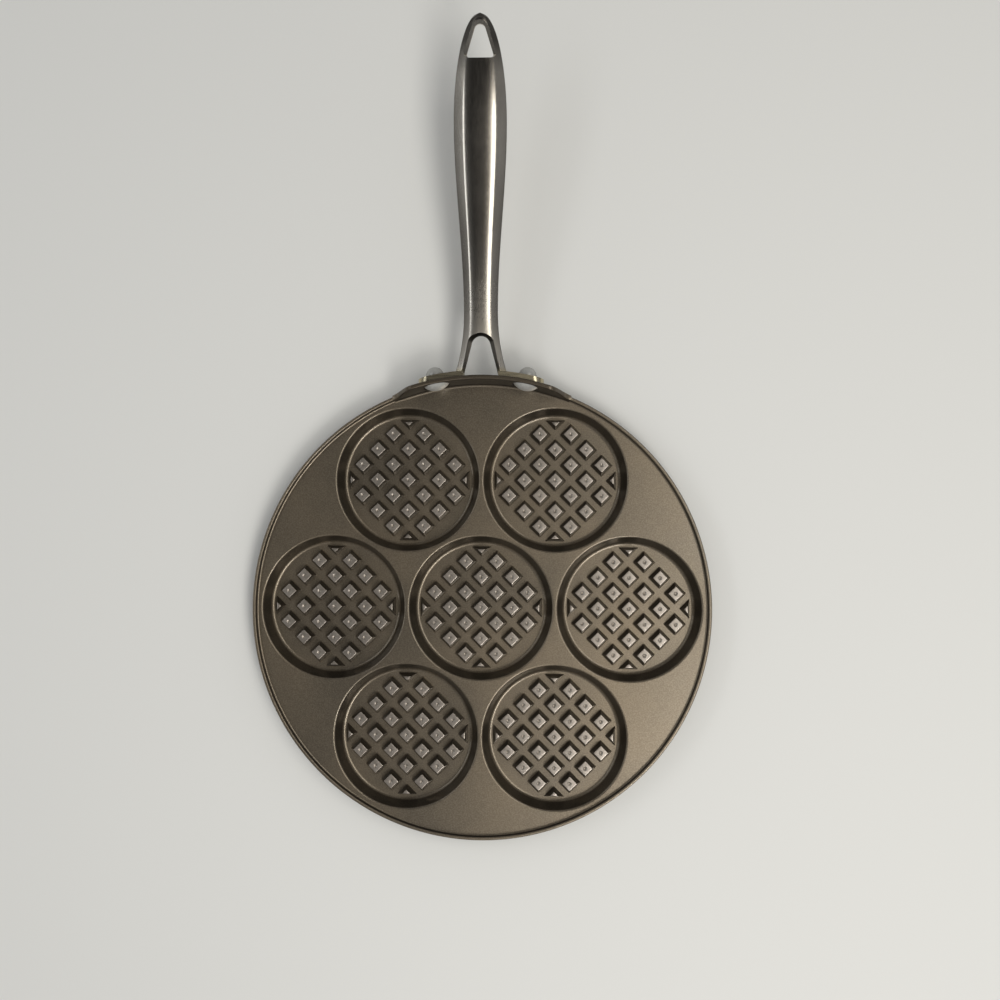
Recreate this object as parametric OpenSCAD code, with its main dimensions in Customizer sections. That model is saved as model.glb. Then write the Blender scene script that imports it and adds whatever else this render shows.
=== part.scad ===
// Stovetop waffle pan: a cast pan with seven round waffle cups, and a forked steel handle on two rivets.
// Millimetres, +Z up. The origin is the centre of the flat underside, and the handle points along +Y.

/* [Pan] */
// Width of the flat border between the outer cups and the outside of the pan
land_w = 5.95; // [5:0.05:16]
// Thickness of the cup floors
floor_t = 3.5; // [2.5:0.1:5]
// Depth of the cups, from the deck to their floors
cup_depth = 8.5; // [7.5:0.1:12]
// Thickness of the deck between the cups
deck_t = 3.2; // [2.4:0.1:4]
// Height of the rim above the deck
rim_h = 3; // [2:0.1:6]
// Width of the rim at its top
rim_w = 2.3; // [1.8:0.1:3]

/* [Cups] */
// Diameter of a cup at the deck
cup_top_d = 83.2; // [78:0.1:96]
// Width of the deck between neighbouring cups, where it is narrowest
web_w = 2.6; // [2:0.1:8]
// Width of a cup's drafted wall, seen from above
cup_lean = 3.5; // [2:0.1:5]
// Radius of the rounded lip round each cup
lip_r = 0.8; // [0.3:0.1:1]
// Radius of the fillet between a cup's wall and its floor
cup_fillet = 1.6; // [0.5:0.1:2]
// Thickness of a cup's wall at its foot
cup_wall = 3; // [2.2:0.1:3.6]

/* [Pegs] */
// Distance between neighbouring pegs
peg_pitch = 12.7; // [12:0.1:13]
// Side of a peg's square foot
peg_foot = 8.8; // [8:0.1:9.6]
// Side of a peg's square top
peg_top = 6.1; // [5:0.1:7]
// Height of the pegs above the cup floor
peg_h = 5.2; // [3:0.1:7]
// Distance between the flat backs of a cup's four corner pegs and the edge of its floor
corner_gap = 2.8; // [2.2:0.1:4]

/* [Ear] */
// Height of the ear above the deck
ear_h = 16; // [15.8:0.1:20]
// Thickness of the ear at its top
ear_top_t = 2.6; // [2:0.1:3]
// Thickness of the ear at the deck
ear_foot_t = 4; // [3.4:0.1:5]
// Width of the ear at its top
ear_top_w = 76; // [74:0.5:90]
// Width of the ear where its ends run down into the rim
ear_foot_w = 102; // [96:0.5:120]

/* [Rivets] */
// Distance between the two rivets
rivet_spacing = 52; // [46:0.5:56]
// Height of the rivets above the deck
rivet_rise = 8.1; // [7.8:0.1:8.3]
// Diameter of a rivet's shank
shank_d = 5; // [4:0.1:6]
// Diameter of a rivet's wide inner head
inner_head_d = 14.6; // [10:0.1:15]
// Height of the inner head
inner_head_h = 3.2; // [1.5:0.1:4]
// Diameter of a rivet's outer dome
outer_head_d = 10.4; // [8:0.1:12]
// Height of the outer dome
outer_head_h = 5.1; // [2.5:0.1:5.2]

/* [Handle] */
// Length of the handle, from the pan's wall to the tip
handle_len = 197.4; // [170:0.2:230]
// Angle at which the handle rises from the pan
handle_rise = 9; // [4:0.5:14]
// Width across the fork where it meets the pan
fork_w = 31; // [28:0.1:34]
// Length of the fork, from the pan's wall to the crotch
fork_len = 22.8; // [20:0.2:30]
// Radius of the rounded crotch
crotch_r = 5.4; // [4:0.1:6]
// Half angle at which the tines spread
fork_angle = 14.5; // [12:0.5:18]
// Distance from the pan's wall to the narrow neck
neck_at = 37; // [34:1:50]
// Width of the neck
neck_w = 19.4; // [18:0.1:23]
// Distance from the pan's wall to the widest part of the grip
grip_at = 139; // [120:1:145]
// Width of the grip
grip_w = 29.6; // [26:0.1:34]
// Thickness of the grip above its middle plane
grip_up = 6.2; // [4:0.1:8]
// Thickness of the grip below its middle plane
grip_down = 4.8; // [3:0.1:7]
// Thickness of a tine above and below its middle plane
tine_half_t = 4.4; // [3:0.1:5]

/* [Hanging loop] */
// Length of the hanging hole
hole_len = 17.6; // [12:0.2:20]
// Width of the band at the tip of the handle, past the hole
loop_tip_w = 5.7; // [4:0.1:7]
// Radius of the hole's rounded point
hole_r = 3.1; // [2.6:0.1:3.6]
// Half angle of the hole's sides
hole_angle = 17.5; // [10:0.5:19]
// Thickness of the loop above and below its middle plane
loop_half_t = 2.4; // [1.5:0.1:4]

/* [Tabs] */
// Thickness of the tabs that lie on the ear
tab_t = 2.7; // [2:0.1:4]
// Height of the tabs
tab_h = 13; // [11:0.1:14]
// Distance from a rivet's centre to the end of its tab
tab_end = 10; // [8.5:0.1:12]

/* [Fits] */
// Clearance between a tab and the ear
tab_gap = 0.1; // [0:0.05:0.3]
// Clearance between a rivet's shank and its hole
shank_gap = 0.05; // [0:0.05:0.3]
// Clearance round a rivet's inner head in its spot face
head_gap = 0.3; // [0.1:0.1:0.6]

/* [Hidden] */
$fn = 96;

ring_cups = 6;                       // cups round the middle one
arc_steps = 6;                       // straight pieces in each rounded corner of a profile
ear_steps = 8;                       // straight pieces in the curve of each end of the ear
ear_sweep = 45;                      // half of the turn of the ring that the ear is cut from
tab_sweep = 45;                      // the same for the ring that a tab is cut from
sink = 0.6;                          // how far pieces of one casting run into each other
casting_edge = 1;                    // radius of the casting's outer edges
rim_edge = 0.8;                      // radius of the rim's and the ear's top edges
foot_fillet = 1;                     // radius of the fillet along the inner foot of the rim and the ear
shell_draft_w = 0.8;                 // how much wider a cup's outside is at the deck than at its foot

cup_top_r = cup_top_d / 2;
cup_floor_r = cup_top_r - cup_lean;
cup_pitch = cup_top_d + web_w;       // distance from the middle cup's centre to the others
cup_draft = atan(cup_lean / cup_depth);
shell_r = cup_floor_r + cup_wall;
corner_flat = cup_floor_r - corner_gap;
peg_reach = floor(cup_floor_r / peg_pitch - 0.5);    // pegs on each side of the middle one, along a row

pan_r = cup_pitch + cup_top_r + land_w;
deck_z = floor_t + cup_depth;
deck_under_z = deck_z - deck_t;
rim_top_z = deck_z + rim_h;
ear_top_z = deck_z + ear_h;

rivet_z = deck_z + rivet_rise;
rivet_turn = asin(rivet_spacing / 2 / pan_r);
rivet_cut = 2 * ear_foot_t;          // how far the cuts for the rivets run past the ear
spot_r = pan_r - ear_top_t;          // distance of the inner heads' seats from the pan's centre
tab_in_r = pan_r + tab_gap;
tab_out_r = tab_in_r + tab_t;

function lerp(a, b, t) = a + (b - a) * t;

// Runs from 0 to 1 with a level start and end
function ease(t) = let(c = min(1, max(0, t))) c * c * (3 - 2 * c);

// Points of an arc from angle a0 to angle a1
function arc(centre, r, a0, a1) =
    [for (i = [0:arc_steps]) let(a = lerp(a0, a1, i / arc_steps)) centre + r * [cos(a), sin(a)]];

// ---- Pan body ----

module deck_and_rim() {
    rim_in_r = pan_r - rim_w;
    rotate_extrude()
        polygon(concat(
            [[0, deck_under_z]],
            arc([pan_r - casting_edge, deck_under_z + casting_edge], casting_edge, -90, 0),
            arc([pan_r - rim_edge, rim_top_z - rim_edge], rim_edge, 0, 90),
            arc([rim_in_r + rim_edge, rim_top_z - rim_edge], rim_edge, 90, 180),
            arc([rim_in_r - foot_fillet, deck_z + foot_fillet], foot_fillet, 0, -90),
            [[0, deck_z]]
        ));
}

// The outside of one cup, which shows under the deck
module cup_shell() {
    rotate_extrude()
        polygon(concat(
            [[0, 0]],
            arc([shell_r - casting_edge, casting_edge], casting_edge, -90, 0),
            [[shell_r + shell_draft_w, deck_under_z + sink], [0, deck_under_z + sink]]
        ));
}

// The hollow of one cup: flat floor, fillet, drafted wall and rounded lip
module cup_hollow() {
    corner = tan((90 + cup_draft) / 2);
    above = deck_z + rim_h;
    rotate_extrude()
        polygon(concat(
            [[0, floor_t]],
            arc([cup_floor_r - cup_fillet / corner, floor_t + cup_fillet], cup_fillet, -90, -cup_draft),
            arc([cup_top_r + lip_r / corner, deck_z - lip_r], lip_r, 180 - cup_draft, 90),
            [[cup_top_r + lip_r / corner, above], [0, above]]
        ));
}

// A row of ridges with drafted sides, as long as the peg field is wide
module ridges(places, foot_half, top_half) {
    slope = (foot_half - top_half) / peg_h;
    rotate([90, 0, 0])
        linear_extrude(height = cup_top_d, center = true)
            for (x = places)
                polygon([
                    [x - foot_half - slope * sink, floor_t - sink],
                    [x + foot_half + slope * sink, floor_t - sink],
                    [x + top_half, floor_t + peg_h],
                    [x - top_half, floor_t + peg_h]
                ]);
}

// All the pegs of one cup. Two sets of ridges cross and leave square pegs where they meet,
// and a drafted square cuts the four corner pegs to triangles.
module peg_field() {
    rows = [for (i = [-peg_reach:peg_reach]) i * peg_pitch];
    draft_w = (peg_foot - peg_top) / 2;
    intersection() {
        rotate([0, 0, 45]) ridges(rows, peg_foot / 2, peg_top / 2);
        rotate([0, 0, -45]) ridges(rows, peg_foot / 2, peg_top / 2);
        ridges([0], corner_flat, corner_flat - draft_w);
        rotate([0, 0, 90]) ridges([0], corner_flat, corner_flat - draft_w);
    }
}

module at_each_cup() {
    children();
    for (i = [0:ring_cups - 1])
        rotate([0, 0, i * 360 / ring_cups])
            translate([cup_pitch, 0, 0])
                rotate([0, 0, -i * 360 / ring_cups])
                    children();
}

// One end of the ear, seen from outside the pan: it sweeps down from the top into the rim
function ear_end(side) = [for (i = [0:ear_steps]) [
    side * lerp(ear_top_w, ear_foot_w, i / ear_steps) / 2,
    lerp(ear_top_z, rim_top_z - rim_edge, ease(i / ear_steps))]];

// The raised part of the wall that the handle is riveted to. A ring with the ear's section is
// trimmed to the ear's outline.
module ear() {
    foot_z = deck_z - sink;
    intersection() {
        rotate([0, 0, 90 - ear_sweep])
            rotate_extrude(angle = 2 * ear_sweep)
                polygon(concat(
                    [[pan_r, foot_z]],
                    arc([pan_r - rim_edge, ear_top_z - rim_edge], rim_edge, 0, 90),
                    arc([pan_r - ear_top_t + rim_edge, ear_top_z - rim_edge], rim_edge, 90, 180),
                    arc([pan_r - ear_foot_t - foot_fillet, deck_z + foot_fillet], foot_fillet, 0, -90),
                    [[pan_r - ear_foot_t - foot_fillet, foot_z]]
                ));
        rotate([90, 0, 0])
            linear_extrude(height = 4 * pan_r, center = true)
                polygon(concat(
                    [for (i = [ear_steps:-1:0]) ear_end(1)[i]],
                    ear_end(-1),
                    [[-ear_foot_w / 2, foot_z], [ear_foot_w / 2, foot_z]]
                ));
    }
}

// Places its children at a rivet, with +Z pointing out of the pan along the rivet
module at_rivet(side) {
    rotate([0, 0, 90 - side * rivet_turn])
        translate([0, 0, rivet_z])
            rotate([0, 90, 0])
                children();
}

module rivet_hole(side) {
    at_rivet(side)
        translate([0, 0, spot_r - rivet_cut])
            cylinder(r = shank_d / 2 + shank_gap, h = tab_out_r - spot_r + 2 * rivet_cut);
}

// The flat seat that is cut into the ear for a rivet's inner head
module spot_face(side) {
    at_rivet(side)
        translate([0, 0, spot_r - rivet_cut])
            cylinder(r = inner_head_d / 2 + head_gap, h = rivet_cut);
}

module pan_body() {
    color([0.33, 0.29, 0.25]) {
        difference() {
            union() {
                deck_and_rim();
                at_each_cup() cup_shell();
                ear();
            }
            at_each_cup() cup_hollow();
            for (side = [-1, 1]) {
                rivet_hole(side);
                spot_face(side);
            }
        }
        at_each_cup() peg_field();
    }
}

// ---- Handle ----
// It is drawn in its own frame: x across, y along it from the pan's wall, z out of its top face.
// A band with a ridge along its middle runs up one tine, round the hanging hole and down the other
// tine, like a horseshoe. Between the crotch and the hole a crowned web joins its two sides.

shoulder = 0.67;                     // share of the half width where the crown ends and the side bands start
inner_share = 0.72;                  // share of the crown's half width that the web takes
crown = 0.22;                        // rise of the crown, as a share of the thickness under its shoulders
crown_curve = 3;                     // how much fuller than a cone the crown's section is
bevel = 0.8;                         // steepness of the bevels on both sides of the ridge
bevel_curve = 1.5;                   // how much the bevels round over from the ridge
edge_keep = 0.25;                    // least share of the thickness that is left at an edge
fork_curve = 2.2;                    // how sharply the fork's outline flares
tip_curve = 2.1;                     // with tip_round, the outline between the widest place and the tip
tip_round = 0.5;
edge_run = 3;                        // length over which the web's ends are bevelled
ridge_run = 20;                      // length over which the ridge moves from the tines onto the grip
bulge_run = 25;                      // length over which the curve of the crotch dies out in the web
tine_start = 1;                      // start of the tines, inside the tabs

band_cols = 5;                       // steps across the band: outer edge, ridge, inner edge
ridge_col = 3;
web_cols = 8;
fork_rows = 6;
loop_rows = 3;
loop_turns = 7;
rows_at_crotch = [0.8, 1.7, 2.8, 4.5, 8, 13, 20];
rows_at_hole = [14, 8, 4, 2.2, 1.3, 0.6];
grip_rows = 12;

crotch_bend_y = fork_len - crotch_r * (1 - sin(fork_angle));
hole_top_y = handle_len - loop_tip_w;
hole_base_y = hole_top_y - hole_len;
hole_bend_y = hole_top_y - hole_r * (1 - sin(hole_angle));

// Half width, at y, of a slot that opens towards the pan and has a round end of radius r at top_y
function slot_half(y, top_y, r, angle) =
    let(c = top_y - r)
    y > c + r * sin(angle) ? sqrt(max(0, r * r - (y - c) * (y - c))) : r / cos(angle) + (c - y) * tan(angle);

function outline(y) =
    y < neck_at ? lerp(neck_w, fork_w, pow(1 - y / neck_at, fork_curve)) / 2
    : y < grip_at ? lerp(neck_w, grip_w, ease((y - neck_at) / (grip_at - neck_at))) / 2
    : grip_w / 2 * pow(max(0, 1 - pow((y - grip_at) / (handle_len - grip_at), tip_curve)), tip_round);

// Thickness at the ridge, above or below the middle plane
function ridge_t(y, grip_t) =
    let(grip = grip_t / (1 + crown))
    y < grip_at ? lerp(tine_half_t, grip, ease((y - fork_len) / (grip_at - fork_len)))
    : lerp(grip, loop_half_t, ease((y - grip_at) / (handle_len - grip_at)));

function from_ends(y) = min(y - crotch_bend_y, hole_base_y - y);
function on_grip(y) = ease(from_ends(y) / ridge_run);
function joined(y) = ease(from_ends(y) / edge_run);

function crotch_half(y) = slot_half(y, fork_len, crotch_r, fork_angle);
function hole_half(y) = slot_half(y, hole_top_y, hole_r, hole_angle);
function web_half(y) =
    let(t = (y - crotch_bend_y) / (hole_base_y - crotch_bend_y))
    lerp(lerp(crotch_half(crotch_bend_y), hole_half(hole_base_y), t), inner_share * shoulder * outline(y), on_grip(y));

web_ys = concat(
    [crotch_bend_y],
    [for (d = rows_at_crotch) crotch_bend_y + d],
    [for (i = [1:grip_rows]) lerp(crotch_bend_y + max(rows_at_crotch), hole_base_y - max(rows_at_hole),
                                  i / (grip_rows + 1))],
    [for (d = rows_at_hole) hole_base_y - d],
    [hole_base_y]
);
web_rows = len(web_ys);

// One side of the band, from its tine to the tip: [inner point, outer point, share joined to the web]
side = concat(
    [for (i = [0:fork_rows - 1]) let(y = lerp(tine_start, crotch_bend_y, i / fork_rows))
        [[crotch_half(y), y], [outline(y), y], 0]],
    [for (y = web_ys) [[web_half(y), y], [outline(y), y], joined(y)]],
    [for (i = [1:loop_rows]) let(y = lerp(hole_base_y, hole_bend_y, i / loop_rows))
        [[hole_half(y), y], [outline(y), y], 0]],
    [for (i = [1:loop_turns]) let(
        a = lerp(hole_angle, 90, i / loop_turns),
        y = lerp(hole_bend_y, handle_len, sin(90 * i / loop_turns)))
        [[hole_r * cos(a), hole_top_y - hole_r + hole_r * sin(a)], [outline(y), y], 0]]
);
half_rows = len(side);
rows = 2 * half_rows - 1;

// Height of a bevel over the middle plane, where t is the height of the ridge, reach is the
// distance from the ridge to the edge, and share is the point's share of that way.
function bevelled(t, reach, share) =
    t - min(bevel * reach, t * (1 - edge_keep)) * pow(share, bevel_curve);

// Height of the crown at [x, y], where t is the height of its shoulders
function crowned(x, y, t) =
    t * (1 + crown * (1 - pow(min(1, abs(x) / (shoulder * outline(y))), crown_curve)));

function band_point(station, col, grip_t) =
    let(inner = station[0], outer = station[1], y = inner[1],
        grip = station[2] > 0 ? on_grip(y) : 0,
        ridge = lerp((inner + outer) / 2, [shoulder * outline(y), y], grip),
        out = col <= ridge_col,
        share = out ? 1 - col / ridge_col : (col - ridge_col) / (band_cols - ridge_col),
        p = lerp(ridge, out ? outer : inner, share),
        t = ridge_t(p[1], grip_t),
        edge = bevelled(t, norm(ridge - (out ? outer : inner)), share))
    [p[0], p[1], out ? edge : lerp(edge, crowned(p[0], p[1], t), station[2])];

function web_point(row, col, grip_t) =
    let(a = lerp(fork_angle, 180 - fork_angle, col / web_cols),
        base = web_ys[row],
        d = base - crotch_bend_y,
        bulge = crotch_r * (sin(a) - sin(fork_angle)) * pow(max(0, 1 - d / bulge_run), 2),
        x = web_half(base) * cos(a) / cos(fork_angle),
        y = base + bulge,
        t = ridge_t(y, grip_t),
        reach = (outline(base) - web_half(base)) / 2)
    [x, y, lerp(bevelled(t, reach, 1), crowned(x, y, t), joined(base))];

function mirrored(p) = [-p[0], p[1], p[2]];
function lowered(p) = [p[0], p[1], -p[2]];
function quad(a, b, c, d) = [[a, b, c], [a, c, d]];
function joined_lists(lists) = [for (l = lists) for (item = l) item];

function band_index(row, col, low) = 2 * (row * (band_cols + 1) + col) + low;
function web_index(row, col, low) =
    col == 0 ? band_index(fork_rows + row, band_cols, low)
    : col == web_cols ? band_index(rows - 1 - fork_rows - row, band_cols, low)
    : 2 * (rows * (band_cols + 1) + row * (web_cols - 1) + col - 1) + low;

module grip_and_fork() {
    points = concat(
        [for (row = [0:rows - 1]) for (col = [0:band_cols])
            let(right = row < half_rows, station = side[right ? row : rows - 1 - row])
            for (low = [0, 1])
                let(p = band_point(station, col, low ? grip_down : grip_up), q = low ? lowered(p) : p)
                right ? q : mirrored(q)],
        [for (row = [0:web_rows - 1]) for (col = [1:web_cols - 1]) for (low = [0, 1])
            let(p = web_point(row, col, low ? grip_down : grip_up)) low ? lowered(p) : p]
    );
    web_end = fork_rows + web_rows - 1;
    open_rows = [for (row = [0:rows - 2])
        let(r = min(row, rows - 2 - row)) if (r < fork_rows || r >= web_end) row];
    faces = joined_lists(concat(
        [for (row = [0:rows - 2]) for (col = [0:band_cols - 1]) quad(
            band_index(row, col, 0), band_index(row, col + 1, 0),
            band_index(row + 1, col + 1, 0), band_index(row + 1, col, 0))],
        [for (row = [0:rows - 2]) for (col = [0:band_cols - 1]) quad(
            band_index(row, col, 1), band_index(row + 1, col, 1),
            band_index(row + 1, col + 1, 1), band_index(row, col + 1, 1))],
        [for (row = [0:rows - 2]) quad(
            band_index(row, 0, 0), band_index(row + 1, 0, 0), band_index(row + 1, 0, 1), band_index(row, 0, 1))],
        [for (row = open_rows) quad(
            band_index(row, band_cols, 0), band_index(row, band_cols, 1),
            band_index(row + 1, band_cols, 1), band_index(row + 1, band_cols, 0))],
        [for (col = [0:band_cols - 1]) quad(
            band_index(0, col, 0), band_index(0, col, 1), band_index(0, col + 1, 1), band_index(0, col + 1, 0))],
        [for (col = [0:band_cols - 1]) quad(
            band_index(rows - 1, col, 0), band_index(rows - 1, col + 1, 0),
            band_index(rows - 1, col + 1, 1), band_index(rows - 1, col, 1))],
        [for (row = [0:web_rows - 2]) for (col = [0:web_cols - 1]) quad(
            web_index(row, col, 0), web_index(row, col + 1, 0),
            web_index(row + 1, col + 1, 0), web_index(row + 1, col, 0))],
        [for (row = [0:web_rows - 2]) for (col = [0:web_cols - 1]) quad(
            web_index(row, col, 1), web_index(row + 1, col, 1),
            web_index(row + 1, col + 1, 1), web_index(row, col + 1, 1))],
        [for (col = [0:web_cols - 1]) quad(
            web_index(0, col, 0), web_index(0, col, 1), web_index(0, col + 1, 1), web_index(0, col + 1, 0))],
        [for (col = [0:web_cols - 1]) quad(
            web_index(web_rows - 1, col, 0), web_index(web_rows - 1, col + 1, 0),
            web_index(web_rows - 1, col + 1, 1), web_index(web_rows - 1, col, 1))]
    ));
    polyhedron(points = points, faces = faces);
}

// A curved plate that lies on the ear, from its tine to past its rivet, with a round end
module tab(side) {
    start_x = crotch_half(tine_start);
    end_x = rivet_spacing / 2 + tab_end;
    round_r = tab_h / 2;
    intersection() {
        rotate([0, 0, 90 - side * rivet_turn - tab_sweep])
            rotate_extrude(angle = 2 * tab_sweep)
                translate([tab_in_r, rivet_z - tab_h / 2])
                    square([tab_t, tab_h]);
        translate([0, 0, rivet_z])
            rotate([90, 0, 180])
                linear_extrude(height = 2 * pan_r)
                    mirror([side > 0 ? 1 : 0, 0]) {
                        translate([start_x, -round_r]) square([end_x - round_r - start_x, tab_h]);
                        translate([end_x - round_r, 0]) circle(r = round_r);
                    }
    }
}

module handle() {
    color([0.66, 0.65, 0.63])
        difference() {
            union() {
                translate([0, pan_r, rivet_z]) rotate([handle_rise, 0, 0]) grip_and_fork();
                for (side = [-1, 1]) tab(side);
            }
            for (side = [-1, 1]) rivet_hole(side);
        }
}

// ---- Rivets ----

// The points of a dome of width d and height h, from its edge to its top
function dome(d, h) =
    let(r = (d * d / 4 + h * h) / (2 * h), full = asin(min(1, d / 2 / r)))
    [for (i = [0:arc_steps]) let(a = full * (1 - i / arc_steps)) [r * sin(a), h - r * (1 - cos(a))]];

module rivet(side) {
    color([0.74, 0.74, 0.73])
        at_rivet(side)
            rotate_extrude()
                polygon(concat(
                    [for (p = dome(inner_head_d, inner_head_h)) [p[0], spot_r - p[1]]],
                    [for (i = [arc_steps:-1:0]) dome(outer_head_d, outer_head_h)[i] + [0, tab_out_r]],
                    [[shank_d / 2, tab_out_r], [shank_d / 2, spot_r]]
                ));
}

module rivet_left() { rivet(-1); }
module rivet_right() { rivet(1); }

pan_body();
handle();
rivet_left();
rivet_right();
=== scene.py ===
from math import asin, atan, cos, degrees, pi, radians, sin, sqrt, tan

import bpy
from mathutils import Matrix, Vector


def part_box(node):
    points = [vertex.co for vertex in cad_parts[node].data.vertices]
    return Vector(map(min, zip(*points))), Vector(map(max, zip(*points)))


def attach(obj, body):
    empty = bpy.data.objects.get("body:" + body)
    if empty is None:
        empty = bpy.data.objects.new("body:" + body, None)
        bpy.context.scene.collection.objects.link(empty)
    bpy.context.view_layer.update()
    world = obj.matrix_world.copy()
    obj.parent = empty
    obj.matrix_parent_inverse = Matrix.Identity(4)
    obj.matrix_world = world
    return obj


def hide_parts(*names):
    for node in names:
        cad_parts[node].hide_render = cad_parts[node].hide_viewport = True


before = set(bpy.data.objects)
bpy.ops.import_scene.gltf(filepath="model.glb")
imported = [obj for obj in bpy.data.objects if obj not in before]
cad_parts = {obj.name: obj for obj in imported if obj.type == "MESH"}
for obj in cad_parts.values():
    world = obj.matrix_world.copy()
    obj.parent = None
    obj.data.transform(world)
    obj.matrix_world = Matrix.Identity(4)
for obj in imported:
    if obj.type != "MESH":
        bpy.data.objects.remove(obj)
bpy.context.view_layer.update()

# A stovetop waffle pan: a cast pan with seven cups of waffle pegs, and a forked steel handle on two
# rivets. The pan lies flat with its cups open upwards, and its handle points along +Y. Metres.

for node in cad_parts.values():
    node.select_set(False)

# ---- Sizes ----

MM = 0.001
WELD = 0.002 * MM                        # vertices closer than this are one

_, pan_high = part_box("pan_body")
rivet_low, rivet_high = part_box("rivet_right")

PAN_R = pan_high.x
EAR_TOP_Z = pan_high.z
RIVET_Z = (rivet_low.z + rivet_high.z) / 2

FLOOR_Z = 3.5 * MM                       # inside floor of the cups
DECK_Z = FLOOR_Z + 8.5 * MM              # face between the cups
DECK_UNDER_Z = DECK_Z - 3.2 * MM
RIM_TOP_Z = DECK_Z + 3 * MM
RIM_W = 2.3 * MM
CASTING_EDGE = 1 * MM                    # radius of the casting's outer edges
CASTING_DRAFT = 5                        # degrees by which the casting's outside walls lean
RIM_EDGE = 0.75 * MM
RIM_FOOT = 1.1 * MM                      # radius between the deck and the rim
RIM_DRAFT = 0.7 * MM                     # how far the outside wall leans in towards the rim's top
RIM_INSIDE_DRAFT = 10                    # degrees by which its inside wall leans

CUPS = 6                                 # cups round the middle one
CUP_PITCH = 85.8 * MM
CUP_TOP_R = 41.6 * MM
CUP_FLOOR_R = 38.1 * MM
CUP_WALL = 3 * MM
CUP_WALL_DRAFT = 0.8 * MM
LIP_R = 1.3 * MM
CUP_FILLET = 2.3 * MM
CUP_DRAFT = degrees(atan((CUP_TOP_R - CUP_FLOOR_R) / (DECK_Z - FLOOR_Z)))

PEG_REACH = 2                            # pegs on each side of the middle one, along a row
PEG_PITCH = 12.7 * MM
PEG_FOOT = 8.6 * MM
PEG_TOP = 6.1 * MM
PEG_H = 5.2 * MM
PEG_SOFT = 0.5 * MM                      # rounding of the peg's edges
PEG_FLARE = 0.45 * MM                    # chamfer where it stands on the floor
DIMPLE_R = 1.3 * MM
DIMPLE_DEPTH = 0.5 * MM
CORNER_FLAT = 35.3 * MM                  # from a cup's centre to the backs of its corner pegs
CORNER_BACK = CORNER_FLAT - PEG_REACH * PEG_PITCH * sqrt(2)     # to that back from the peg's own middle

EAR_TOP_T = 2.6 * MM
EAR_FOOT_T = 3.6 * MM
EAR_FILLET = 1.6 * MM
EAR_TOP_W = 80 * MM
EAR_FOOT_W = 104 * MM

RIVET_X = 26 * MM                        # from the handle's line to a rivet, at the wall
RIVET_TURN = asin(RIVET_X / PAN_R)
SHANK_R = 2.5 * MM
SPOT_R = PAN_R - EAR_TOP_T               # distance of the inner heads' seats from the centre
INNER_HEAD = (14.6 * MM, 3.2 * MM)       # diameter and height of a rivet's wide head
OUTER_HEAD = (10.4 * MM, 5.1 * MM)       # and of its dome
HEAD_GAP = 0.3 * MM                      # clearance round a wide head in its seat
TAB_T = 2.7 * MM
TAB_H = 13 * MM
TAB_START = 10 * MM                      # from the handle's line to the near end of a tab
TAB_END = 10 * MM                        # from a rivet's centre to the far end of its tab
TAB_GAP = 0.1 * MM
TAB_SOFT = 0.9 * MM                      # rounding of the tab's edges
TAB_OVERRUN = radians(2)                 # turn past the tab's end, which is cut off again

HANDLE_RISE = radians(9)
HANDLE_LEN = 197.4 * MM                  # along the handle, all is measured from the pan's wall
TIP_CLEAR = 0.18 * MM                    # from the tip's end to the end of the CAD handle
HANDLE_END = HANDLE_LEN - TIP_CLEAR
FORK_W = 31 * MM
FORK_LEN = 22.8 * MM
NECK_AT = 37 * MM
NECK_W = 19.4 * MM
GRIP_AT = 139 * MM
GRIP_W = 29.6 * MM
GRIP_UP = 6.2 * MM
GRIP_DOWN = 4.8 * MM
TINE_HALF_T = 4.3 * MM
LOOP_HALF_T = 2.35 * MM
LOOP_TIP_W = 5.7 * MM
CROTCH_R = 5.4 * MM
FORK_ANGLE = radians(14.5)
HOLE_LEN = 17.6 * MM
HOLE_R = 3.1 * MM
HOLE_ANGLE = radians(17.5)
HOLE_CORNER = 1.4 * MM
HOLE_TOP_Y = HANDLE_LEN - LOOP_TIP_W
HOLE_BASE_Y = HOLE_TOP_Y - HOLE_LEN

RING_STEPS = 240                         # straight pieces round the pan,
CUP_STEPS = 120                          # round a cup,
RIVET_STEPS = 48                         # round a rivet,
DIMPLE_STEPS = 10                        # round a dimple,
EAR_STEPS = 64                           # along the ear,
TAB_STEPS = 32                           # along a tab
ARC_STEPS = 5                            # and in a rounded corner

LEVEL = 0.9                              # a face whose normal is at least this upright is level


def lerp(a, b, t):
    return a + (b - a) * t


def ease(t):
    t = min(1, max(0, t))
    return t * t * (3 - 2 * t)


def arc(centre, radius, start, end, steps=ARC_STEPS):
    """Points along an arc, from one angle to another in degrees."""
    angles = [radians(lerp(start, end, i / steps)) for i in range(steps + 1)]
    return [(centre[0] + radius * cos(a), centre[1] + radius * sin(a)) for a in angles]


# ---- Modelling steps ----

def only(piece):
    """Makes this the one selected and active object."""
    if bpy.context.object and bpy.context.object.mode != "OBJECT":
        bpy.ops.object.mode_set(mode="OBJECT")
    bpy.ops.object.select_all(action="DESELECT")
    piece.select_set(True)
    bpy.context.view_layer.objects.active = piece


def edit(piece):
    only(piece)
    bpy.ops.object.mode_set(mode="EDIT")
    bpy.ops.mesh.select_mode(type="VERT")
    bpy.ops.mesh.select_all(action="SELECT")


def done():
    bpy.ops.object.mode_set(mode="OBJECT")
    return bpy.context.object


def select_where(piece, part, test):
    """In edit mode, selects only the vertices, edges or faces that pass a test."""
    bpy.ops.mesh.select_mode(type={"vertices": "VERT", "edges": "EDGE", "polygons": "FACE"}[part])
    bpy.ops.mesh.select_all(action="DESELECT")
    bpy.ops.object.mode_set(mode="OBJECT")
    for element in getattr(piece.data, part):
        element.select = test(element)
    bpy.ops.object.mode_set(mode="EDIT")


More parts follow.
